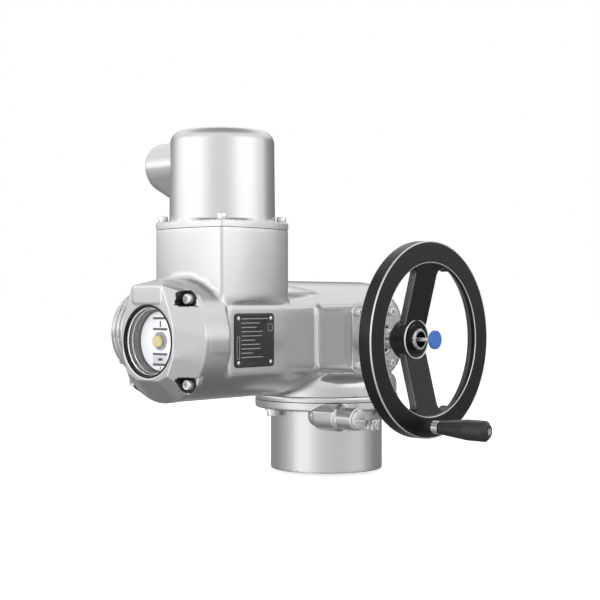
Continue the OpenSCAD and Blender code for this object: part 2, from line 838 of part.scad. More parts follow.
module drum_profile(inset, z0) {
    base = drum_r - inset;
    top = drum_r - drum_draft - inset;
    round_r = drum_round - inset;
    polygon([[0, z0], [base, z0], [top, drum_top - drum_round], [0, drum_top - drum_round]]);
    translate([0, drum_top - drum_round - eps]) square([top - round_r, round_r + eps]);
    translate([top - round_r, drum_top - drum_round]) intersection() {
        circle(r = round_r);
        square([round_r, round_r]);
    }
}

// Round cable entry boss that runs down into the drum wall
module entry_boss(angle, z, r, reach, drop) {
    tower_axis(0) rotate([0, 0, angle]) {
        hull() {
            translate([30, 0, z]) rotate([0, 90, 0]) cylinder(r = r, h = reach - 32, $fn = 40);
            translate([drum_r - 12, 0, z - drop]) rotate([0, 90, 0]) cylinder(r = 3, h = 6, $fn = 24);
        }
        translate([reach - 3, 0, z]) rotate([0, 90, 0]) cylinder(r = r - 0.5, h = 3);
    }
}

module at_entry(e) {
    tower_axis(e[1]) rotate([0, 0, e[0]]) translate([e[3], 0, 0]) rotate([0, 90, 0]) children();
}

module connector_cover() {
    color("silver") difference() {
        union() {
            tower_axis(plate_z0) linear_extrude(height = plate_t) tower_plan();
            tower_axis(0) rotate_extrude($fn = 128) drum_profile(0, plate_z0 + 1);
            for (e = entry_list) entry_boss(e[0], e[1], e[2], e[3], e[4]);
        }
        tower_axis(0) rotate_extrude($fn = 96) drum_profile(drum_wall, plate_z0 - 1);
        tower_axis(0) cylinder(r = drum_r - drum_wall, h = plate_z0 + 2);
        for (e = entry_list) at_entry(e) translate([0, 0, -50]) cylinder(r = e[5], h = 60);
        tower_axis(plate_z1) corners(tower_screw, tower_screw) screw_hole(m6_head, plate_t + 2);
    }
}

module connector_screws() {
    color("lightgray") tower_axis(plate_z1) corners(tower_screw, tower_screw)
        socket_screw(m6_head, plate_t + 12);
}

module socket_carrier() {
    color("dimgray") {
        tower_axis(carrier_seat_z) cylinder(r = tower_bore_r - seat_gap, h = carrier_l);
        tower_axis(tower_top - eps) cylinder(r = carrier_neck_r, h = carrier_neck_l);
    }
}

module contact_pins() {
    color("gold") tower_axis(tower_top + carrier_neck_l - eps)
        for (ring = pin_rings, k = [0:ring[1] - 1])
            rotate([0, 0, k * 360 / ring[1]]) translate([ring[0], 0, 0]) cylinder(r = pin_r, h = pin_l);
}

module entry_plugs() {
    color("black") for (e = entry_list) at_entry(e) {
        difference() {
            cylinder(r = e[5] + plug_rim, h = 4);
            translate([0, 0, 2]) cylinder(r = e[5] * 0.5, h = 4, $fn = 6);
        }
        translate([0, 0, -plug_l]) cylinder(r = e[5] - seat_gap, h = plug_l + eps);
    }
}

module motor_seal() {
    color("black") motor_axis(motor_joint) tube(motor_r - 4, worm_bearing_r + 2, gasket_t);
}

module motor_housing() {
    face = motor_joint + gasket_t;
    color("silver") difference() {
        union() {
            motor_axis(face) cylinder(r = motor_flange_r, h = motor_flange_t);
            motor_axis(face) cylinder(r = motor_r, h = cap_joint - face, $fn = 96);
            motor_axis(cap_joint - 8) cylinder(r = motor_end_r, h = 8, $fn = 96);
        }
        motor_axis(face + motor_shield_t) cylinder(r = motor_r - motor_wall, h = cap_joint);
        motor_axis(motor_joint - 1) cylinder(r = motor_bearing_r - 3, h = motor_shield_t + 4);
        motor_axis(face + motor_shield_t - motor_bearing_w)
            cylinder(r = motor_bearing_r, h = motor_bearing_w + 1);
        motor_axis(face + motor_flange_t) rotate([0, 0, 45]) corners(motor_screw_at, motor_screw_at)
            screw_hole(m6_head, motor_flange_t + 2);
        motor_axis(cap_joint) corners(cap_screw_at, cap_screw_at) screw_hole(m5_head, 7);
    }
}

module motor_end_cap() {
    cap_l = motor_end - cap_joint;
    color("silver") motor_axis(cap_joint) difference() {
        union() {
            cylinder(r = motor_end_r - cap_groove, h = cap_l - 5, $fn = 96);
            for (k = [0:cap_ribs - 1]) translate([0, 0, 2.4 + k * rib_step])
                cylinder(r = motor_end_r, h = rib_w, $fn = 96);
            translate([0, 0, cap_l - 5 - eps])
                cylinder(r1 = motor_end_r - cap_groove, r2 = motor_end_r - cap_groove - 5, h = 5, $fn = 96);
        }
        translate([0, 0, -1]) cylinder(r = motor_bearing_r, h = 4 + motor_bearing_w + 1);
        corners(cap_screw_at, cap_screw_at) {
            translate([0, 0, cap_l - 8]) cylinder(r = m5_head[0] + 0.6, h = 20);
            translate([0, 0, cap_l - 8]) screw_hole(m5_head, cap_l);
        }
    }
}

module motor_screws() {
    color("lightgray") motor_axis(motor_joint + gasket_t + motor_flange_t) rotate([0, 0, 45])
        corners(motor_screw_at, motor_screw_at) socket_screw(m6_head, motor_flange_t + 9);
}

module end_cap_screws() {
    color("lightgray") motor_axis(motor_end - 8) corners(cap_screw_at, cap_screw_at)
        socket_screw(m5_head, motor_end - cap_joint - 8 + 6);
}

module stator_core() {
    slots = 12;
    color("gray") motor_axis(stator_x0) difference() {
        tube(motor_r - motor_wall - seat_gap, rotor_r + rotor_gap, stator_l);
        for (k = [0:slots - 1]) rotate([0, 0, k * 360 / slots])
            translate([rotor_r - 1, -1.5, -1]) cube([10, 3, stator_l + 2]);
    }
}

module stator_windings() {
    color("chocolate") for (x = [stator_x0 - 14, stator_x0 + stator_l])
        motor_axis(x) tube(motor_r - motor_wall - 3, rotor_r + 3, 14);
}

module motor_bearings() {
    color("gray") {
        motor_axis(motor_joint + gasket_t + motor_shield_t - motor_bearing_w)
            bearing(motor_bearing_r, worm_shaft_r, motor_bearing_w);
        motor_axis(cap_joint + 3) bearing(motor_bearing_r, worm_shaft_r, motor_bearing_w);
    }
}

module manual_drive_cover() {
    color("silver") difference() {
        union() {
            x_axis(tube_end) linear_extrude(height = manual_plate_t)
                round_rect(2 * tube_half, 2 * tube_half, tube_corner);
            x_axis(tube_end) cylinder(r = manual_collar_r, h = manual_plate_t + manual_collar_l);
        }
        x_axis(tube_end - 1) cylinder(r = hand_bearing_r, h = hand_bearing_w + 1);
        x_axis(tube_end) cylinder(r = hand_shaft_r + 1, h = 40);
        x_axis(manual_end - 4) cylinder(r = hand_shaft_r + 4, h = 5);
        x_axis(tube_end + manual_plate_t) corners(manual_screw, manual_screw)
            screw_hole(m5_head, manual_plate_t + 2);
    }
}

module manual_drive_screws() {
    color("lightgray") x_axis(tube_end + manual_plate_t) corners(manual_screw, manual_screw)
        socket_screw(m5_head, manual_plate_t + 10);
}

module handwheel_bearing() {
    color("gray") x_axis(tube_end) bearing(hand_bearing_r, hand_shaft_r, hand_bearing_w);
}

module handwheel_seal() {
    color("black") x_axis(manual_end - 4) tube(hand_shaft_r + 4 - seat_gap, hand_shaft_r + run_gap, 4);
}

module worm_bearings() {
    color("gray") {
        x_axis(worm_bearing_x) bearing(worm_bearing_r, worm_shaft_r, worm_bearing_w);
        motor_axis(worm_bearing_x) bearing(worm_bearing_r, worm_shaft_r, worm_bearing_w);
    }
}

module label_axis(x) {
    translate([x, -label_y, axis_z]) rotate([0, 90, 0]) children();
}

module rating_plate() {
    color([0.14, 0.14, 0.14]) label_axis(flat_x + pad_t) difference() {
        linear_extrude(height = 1) round_rect(label_h, label_w, 4);
        corners(label_h / 2 - 5, label_w / 2 - 5) translate([0, 0, -1]) cylinder(r = 1.3, h = 3);
    }
}

module plate_rivets() {
    color("lightgray") label_axis(flat_x + pad_t + 1) corners(label_h / 2 - 5, label_w / 2 - 5) {
        cylinder(r1 = 2, r2 = 1.5, h = 0.7);
        translate([0, 0, -4]) cylinder(r = 1.2, h = 4 + eps);
    }
}

// Opening between the two spokes, on the side where local y is positive
module wheel_opening() {
    corner_r = 8;
    cy = spoke_w / 2 + corner_r;
    cx = sqrt(pow(rim_r - corner_r, 2) - pow(cy, 2));
    tip = (rim_r + 12) / (rim_r - corner_r);
    difference() {
        intersection() {
            circle(r = rim_r, $fn = 128);
            translate([-rim_r - 1, spoke_w / 2]) square([2 * rim_r + 2, rim_r]);
        }
        for (i = [0, 1]) mirror([i, 0])
            polygon([[cx, cy], [cx, 0], [2 * rim_r, 0], [2 * rim_r, cy * tip], [cx * tip, cy * tip]]);
    }
    for (i = [-1, 1]) translate([i * cx, cy]) circle(r = corner_r);
}

module handwheel() {
    back = wheel_face_x - rim_w;
    spoke_front = [hub_back + 1, 3.5];
    cone_x = hub_face_x - 3 - spoke_t - hub_cone_l;
    color([0.08, 0.08, 0.09]) difference() {
        union() {
            x_axis(back) rotate_extrude($fn = 128)
                polygon([
                    [rim_r, rim_w - rim_lip], [rim_r + 8, 0], [wheel_r - 1.5, 0], [wheel_r, 1.5],
                    [wheel_r, rim_w - 1.2], [wheel_r - 1.2, rim_w], [rim_r + 1, rim_w], [rim_r, rim_w - 1]
                ]);
            // Two dished spokes, drawn in the plane through the shaft and extruded across it
            difference() {
                for (side = [0, 180]) x_axis(wheel_face_x) rotate([0, 0, side])
                    translate([0, spoke_w, 0]) rotate([90, 0, 0]) linear_extrude(height = 2 * spoke_w)
                        polygon([
                            [hub_ring_r - 6, -spoke_front[0] - spoke_t],
                            [rim_r + 1, -spoke_front[1] - spoke_t],
                            [rim_r + 1, -spoke_front[1]],
                            [hub_ring_r - 6, -spoke_front[0]]
                        ]);
                for (side = [0, 180]) x_axis(0) rotate([0, 0, side])
                    linear_extrude(height = 2 * wheel_face_x) wheel_opening();
            }
            x_axis(hub_face_x - hub_l) cylinder(r = hub_back_r, h = hub_l - 2);
            x_axis(cone_x) cylinder(r1 = hub_back_r, r2 = hub_ring_r - 0.3, h = hub_cone_l);
            x_axis(cone_x + hub_cone_l - eps) cylinder(r = hub_ring_r - 0.3, h = spoke_t + 1);
            x_axis(hub_face_x - 3) cylinder(r = hub_ring_r, h = 3);
        }
        x_axis(hub_face_x - 2) tube(hub_ring_r - 1.8, hand_shaft_r - 1, 4);
        x_axis(0) cylinder(r = hand_shaft_r + seat_gap, h = 2 * wheel_face_x);
        x_axis(back - 1, handle_y, handle_z) cylinder(r = 4 + seat_gap, h = rim_w + 2);
    }
}

module hub_shaft() {
    color("lightgray") difference() {
        union() {
            x_axis(shaft_step_x) cylinder(r = hand_shaft_r, h = shaft_end_x - shaft_step_x - 1);
            x_axis(shaft_end_x - 1 - eps) cylinder(r1 = hand_shaft_r, r2 = hand_shaft_r - 1, h = 1);
            x_axis(shaft_tail_x) cylinder(r = worm_shaft_r, h = shaft_step_x - shaft_tail_x + eps);
        }
        x_axis(manual_end - 14) cylinder(r = hand_bore_r, h = shaft_end_x);
        x_axis(shaft_tail_x - 1) cylinder(r = button_pin_r + run_gap, h = shaft_end_x);
    }
}

module retaining_ring() {
    color("lightgray") x_axis(hub_face_x - 2) tube(hand_shaft_r + 4, hand_shaft_r + seat_gap, 1.5);
}

module handle_spindle() {
    color("lightgray") {
        x_axis(wheel_face_x - rim_w, handle_y, handle_z) cylinder(r = 4, h = rim_w + eps);
        x_axis(wheel_face_x, handle_y, handle_z) cylinder(r = collar_r, h = collar_l);
        x_axis(wheel_face_x + collar_l - eps, handle_y, handle_z) cylinder(r = spindle_r, h = grip_l + 1.3);
    }
}

module handle_grip() {
    color([0.12, 0.12, 0.13]) x_axis(grip_x0, handle_y, handle_z) difference() {
        union() {
            cylinder(r1 = grip_r1 - 0.8, r2 = grip_r1, h = 1.2);
            translate([0, 0, 1.2 - eps]) cylinder(r1 = grip_r1, r2 = grip_r2, h = grip_l * 0.55);
            translate([0, 0, grip_l * 0.55]) cylinder(r = grip_r2, h = grip_l * 0.45 - 4);
            translate([0, 0, grip_l - 4 - eps]) cylinder(r1 = grip_r2, r2 = grip_r2 - 4, h = 4);
        }
        translate([0, 0, -1]) cylinder(r = spindle_r + run_gap, h = grip_l + 2);
    }
}

module button_head() {
    color([0.2, 0.4, 0.75]) x_axis(button_face_x - button_t) {
        cylinder(r = button_r, h = button_t - 0.8);
        translate([0, 0, button_t - 0.8 - eps]) cylinder(r1 = button_r, r2 = button_r - 0.8, h = 0.8);
    }
}

module button_pin() {
    color("lightgray") x_axis(shaft_tail_x + 12)
        cylinder(r = button_pin_r, h = button_face_x - button_t - shaft_tail_x - 12);
}

module shaft_couplings() {
    color("gray") {
        x_axis(coupling_x) tube(coupling_r, worm_shaft_r + run_gap, coupling_l);
        motor_axis(coupling_x) tube(coupling_r, worm_shaft_r + run_gap, coupling_l);
    }
}

// Cross section of the single-start thread: crest away from the wheel, root towards it
function thread_radius(angle) =
    let (offset = thread_pitch * min(abs(angle), 360 - abs(angle)) / 360,
         half_at_pitch = (thread_pitch / 2 - backlash) / 2,
         flank_r = worm_r + (half_at_pitch - offset) / tan(flank_angle))
    min(worm_tip_r, max(worm_root_r, flank_r));

module worm_thread() {
    points = 18;
    slices_per_turn = 12;
    crest_at = 270;
    linear_extrude(
        height = worm_turns * thread_pitch, center = true,
        twist = 360 * worm_turns, slices = slices_per_turn * worm_turns, $fn = 0
    )
        polygon([for (k = [0:points - 1])
            let (a = k * 360 / points, r = thread_radius(a), b = a + crest_at) [r * cos(b), r * sin(b)]]);
}

module worm_shaft() {
    color("lightgray") {
        x_axis(0) worm_thread();
        x_axis(-worm_end_x) cylinder(r = worm_shaft_r, h = 2 * worm_end_x);
        x_axis(0.5 - worm_bearing_x) cylinder(r = worm_root_r - 0.2, h = 2 * worm_bearing_x - 1);
    }
}

module motor_rotor() {
    color("gray") {
        motor_axis(rotor_tail_x)
            cylinder(r = worm_shaft_r, h = cap_joint + 3 + motor_bearing_w - rotor_tail_x);
        motor_axis(stator_x0 - 2) cylinder(r = rotor_r, h = stator_l + 4);
    }
}

module wheel_tooth() {
    half_at_pitch = (thread_pitch / 2 - backlash) / 2;
    half_tip = half_at_pitch - (wheel_tip_r - wheel_pitch_r) * tan(flank_angle);
    half_root = half_at_pitch + (wheel_pitch_r - wheel_root_r) * tan(flank_angle);
    rotate([0, -lead_angle, 0]) linear_extrude(height = wheel_w, center = true)
        polygon([
            [-half_root, -wheel_root_r + 1], [half_root, -wheel_root_r + 1], [half_root, -wheel_root_r],
            [half_tip, -wheel_tip_r], [-half_tip, -wheel_tip_r], [-half_root, -wheel_root_r]
        ]);
}

module worm_wheel() {
    color("goldenrod") translate([0, 0, axis_z]) {
        translate([0, 0, -wheel_w / 2]) tube(wheel_root_r, shaft_r + seat_gap, wheel_w);
        for (k = [0:wheel_teeth - 1]) rotate([0, 0, k * 360 / wheel_teeth]) wheel_tooth();
    }
}

module hollow_shaft() {
    color("lightgray") difference() {
        union() {
            translate([0, 0, shaft_z0]) cylinder(r = shaft_r, h = shaft_z1 - shaft_z0);
            translate([0, 0, axis_z - wheel_w / 2 - 8]) cylinder(r = wheel_root_r - 1.2, h = 8);
        }
        translate([0, 0, shaft_z0 - 1]) cylinder(r = stem_r + 1, h = shaft_z1);
        for (a = [0, 90]) rotate([0, 0, a])
            translate([-shaft_r - 1, -6, shaft_z0 - 1]) cube([2 * shaft_r + 2, 12, claw_h + 1]);
    }
}

module drive_bush() {
    key_w = 8;
    key_t = 3.3;
    color("goldenrod") difference() {
        union() {
            translate([0, 0, 2]) cylinder(r = bush_r, h = bush_h - 0.5);
            intersection() {
                translate([0, 0, 2]) cylinder(r = shaft_r - 0.2, h = bush_h + claw_h - 0.5);
                union() for (a = [0, 90]) rotate([0, 0, a])
                    translate([-shaft_r, -5.8, bush_h]) cube([2 * shaft_r, 11.6, 2 * claw_h]);
            }
        }
        translate([0, 0, -1]) cylinder(r = stem_r, h = 2 * bush_h);
    }
}

module indicator_disc() {
    color("white") front_axis(dial_y - dial_t) tube(dial_r, 3 + seat_gap, dial_t);
}

module indicator_knob() {
    color("gold") front_axis(dial_y) {
        cylinder(r = knob_r, h = 5);
        translate([0, 0, 5 - eps]) cylinder(r1 = knob_r, r2 = knob_r - 0.8, h = 0.8);
    }
}

module indicator_shaft() {
    gear_depth = 175;
    color("lightgray") {
        front_axis(gear_depth + 4) cylinder(r = 3, h = dial_y - gear_depth - 4);
        front_axis(gear_depth - 1) cylinder(r = 3, h = 5 + eps);
        front_axis(dial_y - dial_t - 3) cylinder(r = 6, h = 3);
    }
}

gear_housing();
flange_ring();
flange_gaskets();
output_housing();
output_screws();
upper_shaft_bearing();
lower_shaft_bearing();
stem_seal();
oil_plug();
earth_clamp();
earth_screw();
switch_cover();
cover_seal();
cover_screws();
window_gasket();
window_retainer();
window_glass();
control_base();
limit_switches();
torque_switches();
counter_gear_box();
indicator_bracket();
connector_seal();
connector_cover();
connector_screws();
socket_carrier();
contact_pins();
entry_plugs();
motor_seal();
motor_housing();
motor_end_cap();
motor_screws();
end_cap_screws();
stator_core();
stator_windings();
motor_bearings();
manual_drive_cover();
manual_drive_screws();
handwheel_bearing();
handwheel_seal();
worm_bearings();
rating_plate();
plate_rivets();
handwheel();
hub_shaft();
retaining_ring();
handle_spindle();
handle_grip();
button_head();
button_pin();
shaft_couplings();
worm_shaft();
motor_rotor();
worm_wheel();
hollow_shaft();
drive_bush();
indicator_disc();
indicator_knob();
indicator_shaft();
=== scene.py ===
# %% [markdown]
# # Electric valve actuator: the looks around a fixed frame
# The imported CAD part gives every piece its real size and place. This lesson dresses it: soft cast edges, turned and
# moulded finishes, the markings behind the window, the bright edges of the handwheel, and a small photo studio.

# %% Load the frame
import math

import bpy
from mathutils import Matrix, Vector
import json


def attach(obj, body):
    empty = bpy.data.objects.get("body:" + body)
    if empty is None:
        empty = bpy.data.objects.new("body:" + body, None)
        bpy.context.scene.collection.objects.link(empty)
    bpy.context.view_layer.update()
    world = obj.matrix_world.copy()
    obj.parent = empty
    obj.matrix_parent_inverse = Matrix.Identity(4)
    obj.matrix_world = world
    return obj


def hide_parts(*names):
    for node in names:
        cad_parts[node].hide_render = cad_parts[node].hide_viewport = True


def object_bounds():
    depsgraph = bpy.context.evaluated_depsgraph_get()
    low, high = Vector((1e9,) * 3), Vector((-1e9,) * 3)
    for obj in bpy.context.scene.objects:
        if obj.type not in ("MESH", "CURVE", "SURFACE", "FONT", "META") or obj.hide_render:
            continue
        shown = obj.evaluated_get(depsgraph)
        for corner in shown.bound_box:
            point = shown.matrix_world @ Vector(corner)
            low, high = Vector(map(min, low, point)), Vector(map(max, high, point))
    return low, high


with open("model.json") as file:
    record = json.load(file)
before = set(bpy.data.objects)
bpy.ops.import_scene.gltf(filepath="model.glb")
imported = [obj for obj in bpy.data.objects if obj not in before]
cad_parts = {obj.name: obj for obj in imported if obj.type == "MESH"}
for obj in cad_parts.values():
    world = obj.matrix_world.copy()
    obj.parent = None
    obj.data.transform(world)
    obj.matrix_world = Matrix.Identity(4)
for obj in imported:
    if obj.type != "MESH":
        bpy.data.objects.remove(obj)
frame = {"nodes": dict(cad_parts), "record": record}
cad_low, cad_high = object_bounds()
nodes = frame["nodes"]
scene = bpy.context.scene
MM = 0.001

# %% [markdown]
# The sizes that the dressing shares with the CAD, in millimetres. The handwheel, the worm and the motor lie on one
# axis along X, and the window looks along -Y at the same height.

# %% Places shared with the part
AXIS_Z = 149
HAND_Y = -40
DIAL_Y = -251
WHEEL_FACE_X = 177
WHEEL_R = 101
RIM_R = 78.5
HUB_FACE_X = 157.5
HUB_RING_R = 20.8
PLATE_FACE_X = 52
PLATE_Y = -171.2
print("hand axis", HAND_Y, AXIS_Z, "dial at", DIAL_Y)

# %% [markdown]
# Colours are written as the hex values that a picture editor shows. The renderer works with linear light, so one
# function turns them. A second one adds a shader node with its inputs and settings.

# %% Colour and node helpers


def linear(hex_colour):
    """An sRGB hex colour as the linear RGBA that a shader socket takes."""
    out = []
    for i in (1, 3, 5):
        c = int(hex_colour[i:i + 2], 16) / 255
        out.append(c / 12.92 if c <= 0.04045 else ((c + 0.055) / 1.055) ** 2.4)
    return (*out, 1.0)


def add(tree, kind, inputs=None, **settings):
    """Adds one shader node. An input that is an output socket is linked, anything else is set."""
    node = tree.nodes.new(kind)
    for key, value in settings.items():
        setattr(node, key, value)
    for key, value in (inputs or {}).items():
        if isinstance(value, bpy.types.NodeSocket):
            tree.links.new(value, node.inputs[key])
        else:
            node.inputs[key].default_value = value
    return node


# %% [markdown]
# Every surface here follows one recipe. Noise whose grain has a real size wanders between two close tones, between
# two roughnesses and through a real depth of relief, so no face looks computed. What the numbers give the eye is
# said beside each finish.

# %% One recipe for all surfaces

NOISE_DETAIL = 2.0
# Most of the noise lies between these two values
NOISE_LOW, NOISE_HIGH = 0.3, 0.7


def surface(name, tones, roughness, grain_mm, depth_mm, stretch=(1, 1, 1), shine=None):
    """A procedural finish. shine holds further inputs of the Principled shader."""
    material = bpy.data.materials.new(name)
    material.use_nodes = True
    tree = material.node_tree
    tree.nodes.clear()
    place = add(tree, "ShaderNodeTexCoord").outputs["Object"]
    placed = add(tree, "ShaderNodeMapping", {"Vector": place, "Scale": stretch}).outputs[0]
    marks = add(tree, "ShaderNodeTexNoise", {"Vector": placed, "Scale": 1 / (grain_mm * MM),
                                             "Detail": NOISE_DETAIL})
    share = add(tree, "ShaderNodeMapRange", {"Value": marks.outputs["Fac"], "From Min": NOISE_LOW,
                                             "From Max": NOISE_HIGH})
    # Inputs 6 and 7 of the mix are its two colours
    tone = add(tree, "ShaderNodeMix", {"Factor": share.outputs[0], 6: linear(tones[0]), 7: linear(tones[1])},
               data_type="RGBA")
    rough = add(tree, "ShaderNodeMapRange", {"Value": share.outputs[0], "To Min": roughness[0],
                                             "To Max": roughness[1]})
    relief = add(tree, "ShaderNodeBump", {"Height": marks.outputs["Fac"], "Strength": 1.0,
                                          "Distance": depth_mm * MM})
    shader = add(tree, "ShaderNodeBsdfPrincipled", {
        "Base Color": tone.outputs[2], "Roughness": rough.outputs[0], "Normal": relief.outputs[0], **(shine or {})})
    add(tree, "ShaderNodeOutputMaterial", {"Surface": shader.outputs[0]})
    return material


# %% [markdown]
# Every material slot of the record has one finish, named after the real material. A few details need a finish of
# their own. Most metals here are satin: their roughness decides how soft the mirrored softboxes look.

# %% Finishes by material slot

METAL = {"Metallic": 1.0}

finishes = {
    # Powder coat with fine aluminium flakes: mirrors broad soft shapes, and a fine grain takes the glassiness away
    "silver_paint": surface("silver_powder_coat", ("#c3c4c5", "#c6c6c7"), (0.21, 0.24), 1.1, 0.0004,
                            shine={"Metallic": 0.93}),
    # Sand-cast inner brackets: dull, with grains of a millimetre
    "cast_alloy": surface("cast_aluminium", ("#9d9e9f", "#b4b4b4"), (0.42, 0.6), 1.5, 0.03, shine=METAL),
    # Zinc-plated screws: bright and slightly milky
    "zinc_steel": surface("zinc_plated_steel", ("#d6d6d4", "#e2e2df"), (0.22, 0.28), 2, 0.001,
                          shine={"Metallic": 0.7}),
    # Ground bearings and gears: darker steel with fine marks
    "bearing_steel": surface("ground_steel", ("#8b8c8e", "#a5a6a8"), (0.25, 0.4), 0.8, 0.006, shine=METAL),
    # Polished tubes and rings: clear reflections
    "polished_steel": surface("polished_steel", ("#bcbcbc", "#cfcfce"), (0.1, 0.18), 2, 0.002, shine=METAL),
    # Oxide black on spring steel: a dark oily sheen
    "blackened_steel": surface("black_oxide_steel", ("#1d1d1f", "#29292c"), (0.3, 0.4), 1, 0.006, shine=METAL),
    # Turned brass knob and contact pins
    "brass": surface("turned_brass", ("#cdc083", "#dccf97"), (0.25, 0.35), 1.5, 0.002, shine=METAL),
    # Bronze of the worm wheel and drive bush, redder than the brass
    "bronze": surface("machined_bronze", ("#9a7340", "#b58b52"), (0.25, 0.4), 0.8, 0.006, shine=METAL),
    # Windings: strands along Z under enamel
    "copper_winding": surface("enamelled_copper", ("#7c3f22", "#a35a33"), (0.25, 0.45), 1.2, 0.2,
                              stretch=(1, 1, 0.2), shine=METAL),
    # Rubber: dull black that catches almost no light
    "black_rubber": surface("nitrile_rubber", ("#121212", "#1b1b1b"), (0.55, 0.75), 0.8, 0.02),
    # Glass-filled plastic: grey with a slight fibre grain
    "grey_plastic": surface("glass_filled_polyamide", ("#4d5053", "#5a5d60"), (0.45, 0.6), 1, 0.02),
    # Grip and plugs: black moulding with a soft sheen
    "black_plastic": surface("black_polyamide", ("#17171a", "#202023"), (0.3, 0.42), 1, 0.015),
    # The dial: clean white with the faint violet tone of the photo
    "white_plastic": surface("white_abs", ("#f7f6fb", "#fdfcff"), (0.35, 0.45), 3, 0.002),
    # The release button: one plain blue
    "blue_plastic": surface("blue_abs", ("#2f63b0", "#3b70bd"), (0.3, 0.4), 2, 0.006),
    # The rating plate: dark satin anodising
    "black_plate": surface("black_anodised_plate", ("#19191b", "#222224"), (0.4, 0.5), 1.5, 0.004),
    # The handwheel: smooth black coat over a casting, with only a weak gloss
    "black_coating": surface("black_powder_coat", ("#0b0b0c", "#101011"), (0.28, 0.34), 6, 0.003,
                             shine={"Specular IOR Level": 0.22, "Coat Weight": 0.08, "Coat Roughness": 0.15}),
    # Toughened glass: almost colourless, with the faintest unevenness in its polish
    "clear_glass": surface("toughened_glass", ("#fbfdfd", "#ffffff"), (0.0, 0.02), 12, 0,
                           shine={"Transmission Weight": 1.0, "IOR": 1.5}),
}
# Finishes of details that the record has no slot for: their pieces take the nearest slot
# Bare turned metal for the wheel's edges; on the lips of the window's steps the same bright metal is painted
# highlight
turned_edge_and_highlight = surface("turned_edge_and_painted_highlight", ("#c8c8c8", "#dedede"), (0.25, 0.35), 0.6, 0.004, shine=METAL)
violet_boss = surface("violet_grey_acetal", ("#8f8c9c", "#a3a0b0"), (0.35, 0.5), 2, 0.01)
printed_black = surface("printed_black_ink", ("#1b1a20", "#222128"), (0.4, 0.5), 1, 0.004)
printed_grey = surface("printed_grey_ink", ("#d3d2da", "#dad9e0"), (0.4, 0.5), 1, 0.004)
printed_silver = surface("etched_silver_lines", ("#a5a5a6", "#b5b5b6"), (0.4, 0.5), 1, 0.004)
# Painted shade: a dark coat for the walls and bottoms of the cover's screw pockets
pocket_painted_shade = surface("painted_shade_in_pockets", ("#343536", "#454647"), (0.45, 0.55), 0.9, 0.004, shine=METAL)
satin_pin = surface("satin_zinc_pin", ("#cccccb", "#dadad8"), (0.3, 0.38), 1, 0.001, shine={"Metallic": 0.45})
pale_spoke_coat = surface("pale_coat_on_spoke_sides", ("#515152", "#5f5f60"), (0.26, 0.34), 1.5, 0.001, shine=METAL)
# Painted shade: the window's steps take a darker steel that stands for the shade and dark mirror images deep in the
# bore
window_steel = surface("window_steel_with_painted_shade", ("#4a4a4b", "#5a5a5b"), (0.16, 0.24), 1.5, 0.001, shine=METAL)


def dress(piece, material):
    """Gives a piece one finish on all its faces."""
    piece.data.materials.clear()
    piece.data.materials.append(material)
    for face in piece.data.polygons:
        face.material_index = 0


for part in frame["record"]["subparts"]:
    for holder in nodes[part["node"]].material_slots:
        holder.material = finishes[part["material_slot"]]
for holder in nodes["button_pin"].material_slots:
    holder.material = satin_pin
print("finishes:", len(finishes), "slots")

# %% [markdown]
# Most new pieces begin as a copy of a CAD node, because its size and place are already right. A copy is merged
# first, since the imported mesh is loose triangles, and then finished by modifiers. Others begin as primitives, which
# edit mode adds to one mesh.

# %% Helpers for shaping

MERGE_MM = 0.002


def only(piece):
    """Deselects everything and selects one piece, because an operator acts on all that is selected."""
    bpy.ops.object.select_all(action="DESELECT")
    piece.select_set(True)
    bpy.context.view_layer.objects.active = piece


def finish_with(piece, kind, **settings):
    """Adds one modifier and applies it."""
    modifier = piece.modifiers.new(kind.lower(), kind)
    for key, value in settings.items():
        setattr(modifier, key, value)
    only(piece)
    bpy.ops.object.modifier_apply(modifier=modifier.name)


def begin(name, mesh=None):
    """A new piece in edit mode, empty or with a mesh, and with everything in it selected."""
    piece = bpy.data.objects.new(name, mesh or bpy.data.meshes.new(name))
    scene.collection.objects.link(piece)
    only(piece)
    bpy.ops.object.mode_set(mode="EDIT")
    bpy.ops.mesh.select_mode(type="VERT")
    bpy.ops.mesh.select_all(action="SELECT")
    return piece


def twin(name, node):
    """A merged copy of a CAD node."""
    piece = begin(name, nodes[node].data.copy())
    bpy.ops.mesh.remove_doubles(threshold=MERGE_MM * MM)
    bpy.ops.object.mode_set(mode="OBJECT")
    bpy.ops.mesh.customdata_custom_splitnormals_clear()
    return piece


def pick(piece, test):
    """Selects the vertices whose place passes the test, and leaves the piece in edit mode."""
    only(piece)
    bpy.ops.object.mode_set(mode="EDIT")
    bpy.ops.mesh.select_mode(type="VERT")
    bpy.ops.mesh.select_all(action="DESELECT")
    bpy.ops.object.mode_set(mode="OBJECT")
    for vertex in piece.data.vertices:
        vertex.select = test(vertex.co)
    bpy.ops.object.mode_set(mode="EDIT")


def shade(piece, degrees=40):
    """Smooth shading that keeps the edges sharper than this."""
    only(piece)
    bpy.ops.object.shade_smooth_by_angle(angle=math.radians(degrees))


def hand_over(piece, body, slot, *replaced, material=None):
    """Gives the piece its finish, hangs it on the empty of its body and hides the CAD nodes that it stands for."""
    dress(piece, material or finishes[slot])
    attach(piece, body)
    if replaced:
        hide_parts(*replaced)
    print(piece.name, len(piece.data.polygons), "faces on", body)


# %% [markdown]
# A casting has no sharp inner corner anywhere: the metal has to flow and the mould has to open. Filleting each edge
# of such a form by hand is slow. Here the copy is remeshed into small even faces, and smoothing rounds every edge at
# once, inside and out. The faces that a machine cuts afterwards are first moved out by a few millimetres and then
# cut off flat, just as in the factory, so their edges stay crisp.

# %% Soft castings

MACHINING_MM = 4
ON_PLANE_MM = 0.05
CORE_VERTICES = 64


